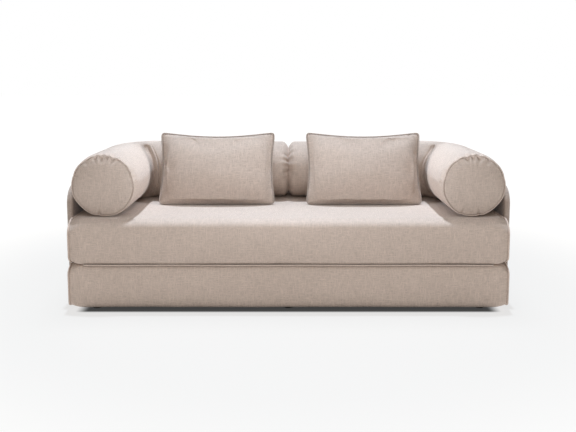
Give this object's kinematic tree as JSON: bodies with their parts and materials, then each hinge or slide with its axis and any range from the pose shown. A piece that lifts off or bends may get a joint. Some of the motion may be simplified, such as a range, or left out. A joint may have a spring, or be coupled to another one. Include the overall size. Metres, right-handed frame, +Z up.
{
  "type": "sofa bed",
  "caption": "Low fold-out sofa bed: padded seat layers joined by a front seam, thin upholstered border, bent bolster rolls and piped pillows.",
  "frame": {"origin": "centre of the overall box, on the floor", "axes": "+Z up, +X to the viewer's right along the length, front of the seat faces -Y"},
  "size_m": [2.08, 0.844, 0.778],
  "materials": {
    "seat_cloth": "matte",
    "base_cloth": "matte",
    "panel_cloth": "matte",
    "roll_cloth": "matte",
    "pillow_cloth": "matte",
    "piping_cloth": "matte",
    "tape": "matte",
    "zip_tape": "satin",
    "foam": "matte",
    "filling": "matte",
    "timber": "satin",
    "plywood": "satin",
    "steel": "satin",
    "glide_plastic": "matte"
  },
  "bodies": {
    "base": {"glides": "glide_plastic", "glide_screws": "steel", "front_rail": "timber", "back_rail": "timber", "left_rail": "timber", "right_rail": "timber", "cross_rails": "timber", "corner_blocks": "timber", "deck": "plywood", "deck_screws": "steel", "lower_foam": "foam", "lower_cover": "base_cloth", "lower_piping": "piping_cloth", "fold_bead": "base_cloth", "lower_hinge_tape": "tape", "left_board": "plywood", "left_panel_cover": "panel_cloth", "right_board": "plywood", "right_panel_cover": "panel_cloth", "back_board": "plywood", "back_panel_cover": "panel_cloth", "panel_bolts": "steel", "tee_nuts": "steel"},
    "upper_layer": {"upper_foam": "foam", "upper_cover": "seat_cloth", "upper_piping": "piping_cloth", "upper_hinge_tape": "tape", "upper_zip": "zip_tape"},
    "left_roll": {"left_roll_core": "foam", "left_roll_cover": "roll_cloth", "left_roll_piping": "piping_cloth", "left_roll_zip": "zip_tape"},
    "left_pillow": {"left_pillow_filling": "filling", "left_pillow_cover": "pillow_cloth", "left_pillow_piping": "piping_cloth"},
    "right_roll": {"right_roll_core": "foam", "right_roll_cover": "roll_cloth", "right_roll_piping": "piping_cloth", "right_roll_zip": "zip_tape"},
    "right_pillow": {"right_pillow_filling": "filling", "right_pillow_cover": "pillow_cloth", "right_pillow_piping": "piping_cloth"}
  },
  "joints": [
    {"name": "fold_out", "type": "hinge", "parent": "base", "child": "upper_layer", "pos_m": [0, -0.4175, 0.209], "axis": [1, 0, 0], "range_deg": [0, 180]},
    {"name": "left_roll_lift", "type": "slide", "parent": "base", "child": "left_roll", "axis": [0, 0, 1], "range_m": [0, 2.46]},
    {"name": "right_roll_lift", "type": "slide", "parent": "base", "child": "right_roll", "axis": [0, 0, 1], "range_m": [0, 2.46]},
    {"name": "left_pillow_lift", "type": "slide", "parent": "base", "child": "left_pillow", "axis": [0, 0, 1], "range_m": [0, 2.46]},
    {"name": "right_pillow_lift", "type": "slide", "parent": "base", "child": "right_pillow", "axis": [0, 0, 1], "range_m": [0, 2.46]}
  ],
  "couplings": [
    {"joint": "left_roll_lift", "follows": "fold_out", "m_per_rad": 0.78},
    {"joint": "right_roll_lift", "follows": "fold_out", "m_per_rad": 0.78},
    {"joint": "left_pillow_lift", "follows": "fold_out", "m_per_rad": 0.78},
    {"joint": "right_pillow_lift", "follows": "fold_out", "m_per_rad": 0.78}
  ]
}
